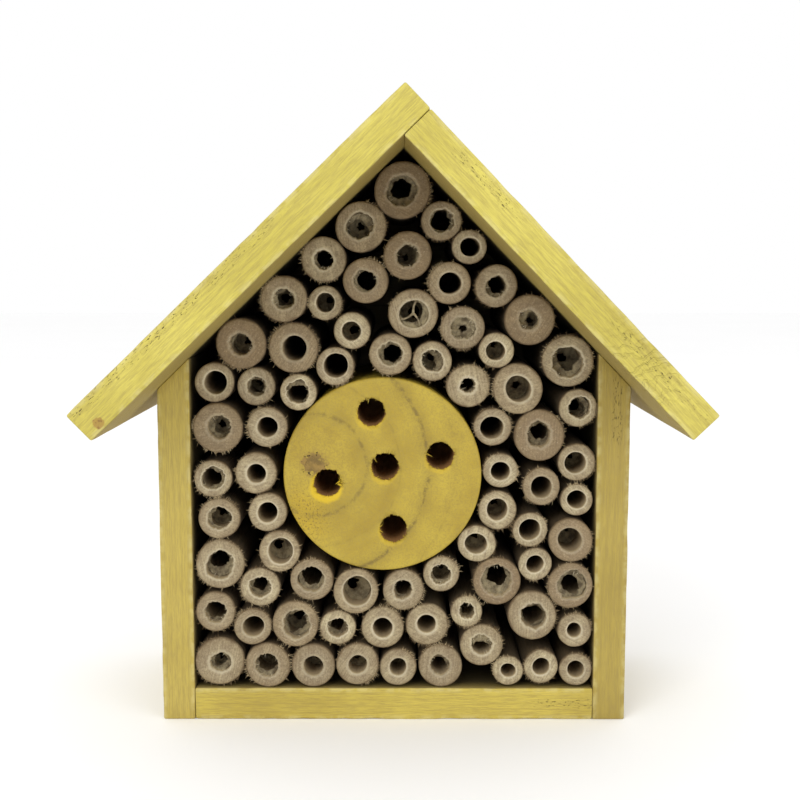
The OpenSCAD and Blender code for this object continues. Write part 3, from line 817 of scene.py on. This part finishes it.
def cane_wall(x, z, outer, bore, y0, y1, rng, torn, tone, light):
    """The tube: one closed profile of (radius, depth) carried round the cane.

    The profile comes forward along the bore, over the bevelled lip, across the sawn face, round the
    outer edge and back along the skin. The outline is outer * (1 + ovality * cos 2(turn - lean) +
    ripple), and a torn cane's bore is also ragged by exp(-depth / 3 mm).
    """
    wall, long = outer - bore, y1 - y0
    rim, lip = min(0.28 * wall, 1.0 * mm), min(0.24 * wall, 0.8 * mm)
    a, face = np.linspace(0, pi / 2, 6), np.linspace(0, 1, 7)[1:-1]
    coming, going = np.array([30, 12, 6, 3.5, 2, 1.2]) * mm, np.array([3, 12, 40]) * mm
    radius = np.concatenate([np.full(7, bore), bore + lip * (1 - np.cos(a)),
                             bore + lip + face * (wall - lip - rim),
                             outer - rim + rim * np.sin(a), np.full(4, outer), [outer - 0.2 * mm]])
    depth = np.concatenate([[long], coming, lip * (1 - np.sin(a)), 0 * face, rim * (1 - np.cos(a)),
                            going, [long - 0.2 * mm, long]])
    turn = np.linspace(0, 2 * pi, 84, endpoint=False)
    circle = np.stack([np.cos(turn), np.sin(turn)], -1)
    seed = int(rng.integers(1e6))
    oval = rng.uniform(0.002, 0.018) * np.cos(2 * (turn - rng.uniform(0, pi))) - 0.008
    outline = 1 + oval + 0.008 * ripple(circle, 2.4, seed) + 0.004 * ripple(circle, 0.3, seed + 6, 11)
    bore_line = 1 + 2.5 * oval + (0.07 if torn else 0.02) * ripple(circle, 1.6, seed + 1)
    ragged = 0.11 * ripple(circle, 0.5, seed + 2, 13) + 0.06 * ripple(circle, 0.2, seed + 3, 13)
    share = ((radius - bore) / wall)[:, None]
    mouth = np.exp(-depth / (3 * mm))[:, None] * (1 - share) ** 2
    tears = (1 if torn else 0.12) * ragged * mouth
    spread = radius[:, None] * (bore_line * (1 - share) + outline * share) * (1 + tears)
    off_centre = rng.normal(0, 0.05, 2) * bore * (1 - share[..., None])
    points = np.empty(spread.shape + (3,))
    points[..., 0] = x + spread * circle[:, 0] + off_centre[..., 0]
    points[..., 2] = z + spread * circle[:, 1] + off_centre[..., 1]
    front = (depth < 2.5 * mm)[:, None]
    tilt, across = rng.normal(0, 0.02, 2), points[..., 0] - x
    lean_y = tilt[0] * across + tilt[1] * (points[..., 2] - z)
    uneven = 0.12 * mm * ripple(points[..., [0, 2]], 5 * mm, seed + 4)
    points[..., 1] = y0 + depth[:, None] + np.where(front, lean_y + uneven, 0)
    deep = np.where(share == 0, np.clip(depth / (20 * mm), 0, 1)[:, None], 0)
    outside = 1 + np.clip((depth[:, None] - rim) / mm, 0, 0.05)
    through = np.where(share >= 1 - 1e-9, outside, np.maximum(share, 0.1 * torn))
    swing = rng.uniform(0, pi)
    saw = np.cos(swing) * across + np.sin(swing) * (points[..., 2] - z)
    return skin(points, cane_values(tone, light, through=through, deep=deep, saw=saw), wrap_rows=True)


def node_wall(x, z, bore, depth, hole, rough, rng, tone, light):
    """What is left of the thin wall inside a node: a cupped ring with a ragged hole.

    The hole's radius is bore * (hole + rough * ripple of the turn), and the ring cups back towards it.
    """
    turn = np.linspace(0, 2 * pi, 72, endpoint=False)
    circle = np.stack([np.cos(turn), np.sin(turn)], -1)
    seed = int(rng.integers(1e6))
    edge = hole + rough * (ripple(circle, 1.5, seed) + 0.5 * ripple(circle, 0.35, seed + 1, 11))
    edge = np.clip(edge, 0.06, 0.97)
    share = np.linspace(0, 1, 7)[:, None]
    out = 1.05 * (1 - share) + edge[None] * share
    shift = rng.normal(0, 0.16, 2) * bore * share[..., None]
    front = np.empty(out.shape + (3,))
    front[..., 0] = x + bore * out * circle[:, 0] + shift[..., 0]
    front[..., 2] = z + bore * out * circle[:, 1] + shift[..., 1]
    crumpled = 0.6 * mm * ripple(out[..., None] * circle, 0.8, seed + 2)
    front[..., 1] = depth + 2.2 * mm * (1 - out**2) + crumpled
    back = front[::-1] + np.array([0, 0.22 * mm, 0])
    return skin(np.concatenate([front, back]), cane_values(tone, light, film=1.0), wrap_rows=True)


def node_rib(x, z, bore, depth, turn, tone, light):
    """One rib of a torn node wall: a thin bar from the middle of the bore to its side.

    Its half width along the way is 0.55 mm * (1 - 0.4 * sin(pi t)), and it closes to a point at each end.
    """
    t = np.array([0, 0, 0.25, 0.5, 0.75, 1, 1.0])
    size = np.array([0, 1, 1, 1, 1, 1.3, 0]) * 0.55 * mm * (1 - 0.4 * np.sin(pi * t))
    outward, side = np.array([np.cos(turn), 0, np.sin(turn)]), np.array([-np.sin(turn), 0, np.cos(turn)])
    bow = 0.5 * mm * np.sin(pi * t)
    path = np.array([x, depth, z]) + t[:, None] * 1.02 * bore * outward + bow[:, None] * side
    around = np.linspace(0, 2 * pi, 10, endpoint=False)
    ring = np.cos(around)[:, None] * side + 0.7 * np.sin(around)[:, None] * np.array([0, 1, 0])
    return skin(path[:, None] + size[:, None, None] * ring[None], cane_values(tone, 1.0, film=1.0))


# %% [markdown]
# Wide canes come from the lower part of the plant. Their walls are thick, brown and soft, and the
# drill that cleaned their nodes left rags. Narrow canes are pale and hard, and were cut clean. So the
# chance of a torn bore grows with the cane's width. Everything random is seeded by the cane's place.

# %% Make the canes
bamboo = bamboo_finish()
ribbed, covered = log_middle + np.array([11.2, 58.7]) * mm, log_middle + np.array([31.0, 54.0]) * mm
canes = 0
for name in sorted(n for n in nodes if n.startswith("tube_")):
    skins = []
    for solid in solids(name):
        x, z = (solid[:, 0].max() + solid[:, 0].min()) / 2, (solid[:, 2].max() + solid[:, 2].min()) / 2
        off = np.hypot(solid[:, 0] - x, solid[:, 2] - z)
        outer, bore = off.max(), off.min()
        rng = np.random.default_rng(int(x / mm * 7 + z / mm * 13) + 5000)
        wide = np.clip((outer / mm - 5.8) / 3.0, 0, 1)
        tone = np.clip(0.65 * wide + rng.uniform(-0.15, 0.5), 0, 1)
        light = np.clip(0.75 - 0.6 * wide + rng.uniform(-0.3, 0.3), 0, 1)
        is_ribbed = np.hypot(x - ribbed[0], z - ribbed[1]) < 6 * mm
        is_covered = np.hypot(x - covered[0], z - covered[1]) < 6 * mm
        torn = rng.uniform() < 0.1 + 0.75 * wide and not is_ribbed
        y0 = solid[:, 1].min() + rng.uniform(-0.4, 0.5) * mm
        skins.append(cane_wall(x, z, outer, bore, y0, solid[:, 1].max(), rng, torn, tone, light))
        if is_ribbed:
            for turn in (1.3, 3.6, 5.2):
                skins.append(node_rib(x, z, bore, y0 + 1.8 * mm, turn, tone, light))
            skins.append(node_wall(x, z, bore, y0 + 2 * mm, 0.8, 0.08, rng, tone, light))
        elif is_covered:
            skins.append(node_wall(x, z, bore, y0 + 1.2 * mm, 0.3, 0.1, rng, tone, light))
        elif torn:
            depth, hole = y0 + rng.uniform(1.6, 5) * mm, rng.uniform(0.6, 0.95)
            skins.append(node_wall(x, z, bore, depth, hole, 0.16, rng, tone, light))
        if rng.uniform() < 0.45:
            depth, hole = y0 + rng.uniform(8, 17) * mm, rng.uniform(0.25, 0.5)
            skins.append(node_wall(x, z, bore, depth, hole, 0.12, rng, tone, light))
        for _ in range(int(rng.integers(1, 5))):
            hair = cane_values(rng.uniform(0, 1), light, fuzz=1.0)
            turn = rng.normal(rng.uniform(0, 2 * pi), rng.uniform(0.2, 0.7), int(rng.integers(12, 40)))
            root = outer - 0.3 * mm
            skins.append(splinters(x, z, root, y0 + 0.2 * mm, turn, 1.0 * mm, 0.14 * mm, rng, hair))
        if torn:
            flake = cane_values(0.5, 1.0, through=0.1)
            turn = rng.uniform(0, 2 * pi, 9)
            skins.append(splinters(x, z, bore, y0 + 0.3 * mm, turn, -0.9 * mm, 0.16 * mm, rng, flake))
        canes += 1
    piece(name + "_canes", skins, bamboo, [name])
print(canes, "canes made")

# %% [markdown]
# ## The back, and the steel
# The back panel, the hanger and the fasteners have the right shape in the CAD model, so they stay
# and only get their finish: thin plywood, zinc on the hanger, and grey wire nails.

# %% Plywood
def plywood():
    """Rotary-cut veneer: wide wavy rings along X, and painted shade that darkens the face towards the canes.
    """
    r = Recipe("plywood", 0.7)
    wave = r.noise(r.stretched((12, 60, 90)), 1.0, 4.0, 0.6, 0.4)
    figure = r.between(r.math("SINE", r.math("MULTIPLY", wave, 46.0)), 0.2, 1.0)
    pores = r.noise(r.stretched((70, 900, 900)), 1.0, 3.0)
    panel_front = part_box("back_panel")[0].y
    colour = r.mix(figure, paint("#cdb07a"), paint("#b8955d"))
    colour = r.mix(r.between(pores, 0.55, 0.7, 0.0, 0.5), colour, paint("#8a6a3e"))
    y = r.dot(r.place, (0, 1, 0))
    # Painted shade: the face towards the canes, at the back of the cavity, is mixed towards near black
    colour = r.mix(r.between(y, panel_front, panel_front + 0.5 * mm, 0.85, 0.0), colour, paint("#2e2314"))
    return r.finish(colour, pores, 0.0001)


# %% Steel
def steel(name, tint, roughness):
    """Grey metal with fine scratches and a cloudy surface."""
    r = Recipe(name, roughness)
    r.shader.inputs["Metallic"].default_value = 1.0
    clouds = r.noise(r.place, 260.0, 4.0)
    scratches = r.noise(r.stretched((120, 3000, 3000)), 1.0, 2.0)
    colour = r.mix(r.between(clouds, 0.3, 0.7), paint(tint), paint("#8d8f92"))
    return r.finish(colour, scratches, 0.00003, r.between(clouds, 0.3, 0.7, roughness, roughness + 0.2))


finishes = {"back_panel": plywood()}
zinc = steel("zinc_plate", "#c3c7cb", 0.32)
wire = steel("nail_wire", "#a7a9ab", 0.38)
for name in ("hanger_plate", "hanger_screws"):
    finishes[name] = zinc
for name in ("ridge_nails", "roof_nails", "wall_nails", "back_pins"):
    finishes[name] = wire
for name, metal_or_ply in finishes.items():
    nodes[name].data.materials.clear()
    nodes[name].data.materials.append(metal_or_ply)
print("finished CAD nodes:", sorted(finishes))

# %% [markdown]
# ## Floor, light and camera
# The house stands on a pale floor in a bright, even room. One large soft light stands high in
# front on the left, and a weaker one on the right, so the canes' lips catch the light and their
# bores stay dark. The camera is a little above the middle, looking slightly down.

# %% Floor
def floor_finish():
    """Matt off-white, very slightly uneven."""
    r = Recipe("pale_floor", 0.9)
    return r.finish(r.mix(r.noise(r.place, 3.0, 2.0), paint("#fbfbfb"), paint("#fefefe")))


reach = 4.0
corners = [[-reach, -reach, 0], [reach, -reach, 0], [reach, reach, 0], [-reach, reach, 0]]
mesh = bpy.data.meshes.new("floor")
mesh.from_pydata(corners, [], [[0, 1, 2, 3]])
mesh.materials.append(floor_finish())
floor = bpy.data.objects.new("floor", mesh)
bpy.context.scene.collection.objects.link(floor)

# %% Light
world = bpy.context.scene.world or bpy.data.worlds.new("room")
bpy.context.scene.world = world
world.use_nodes = True
world.node_tree.nodes["Background"].inputs["Color"].default_value = (1, 1, 1, 1)
world.node_tree.nodes["Background"].inputs["Strength"].default_value = 1.0


def soft_light(name, place, aim, size, watts):
    """A square light at place, turned so that its face looks at aim."""
    light = bpy.data.lights.new(name, "AREA")
    light.size = size
    light.energy = watts
    lamp = bpy.data.objects.new(name, light)
    direction = np.array(place) - np.array(aim)
    lamp.location = place
    lamp.rotation_euler = (np.arctan2(np.hypot(direction[0], direction[1]), direction[2]), 0,
                           np.arctan2(direction[1], direction[0]) + pi / 2)
    bpy.context.scene.collection.objects.link(lamp)


house_middle = (0, 0, 0.1)
soft_light("key", (-0.55, -1.1, 0.95), house_middle, 0.7, 7)
soft_light("fill", (0.9, -1.0, 0.5), house_middle, 0.8, 3)

# %% Camera
looking_down, turned_left = radians(6.28), radians(0.13)
camera_data = bpy.data.cameras.new("camera")
camera_data.lens = 54.1
camera = bpy.data.objects.new("camera", camera_data)
camera.location = (3.3 * mm, -453 * mm, 167.6 * mm)
camera.rotation_euler = Euler((pi / 2 - looking_down, 0, turned_left))
bpy.context.scene.collection.objects.link(camera)
bpy.context.scene.camera = camera
bpy.context.scene.view_settings.view_transform = "Standard"
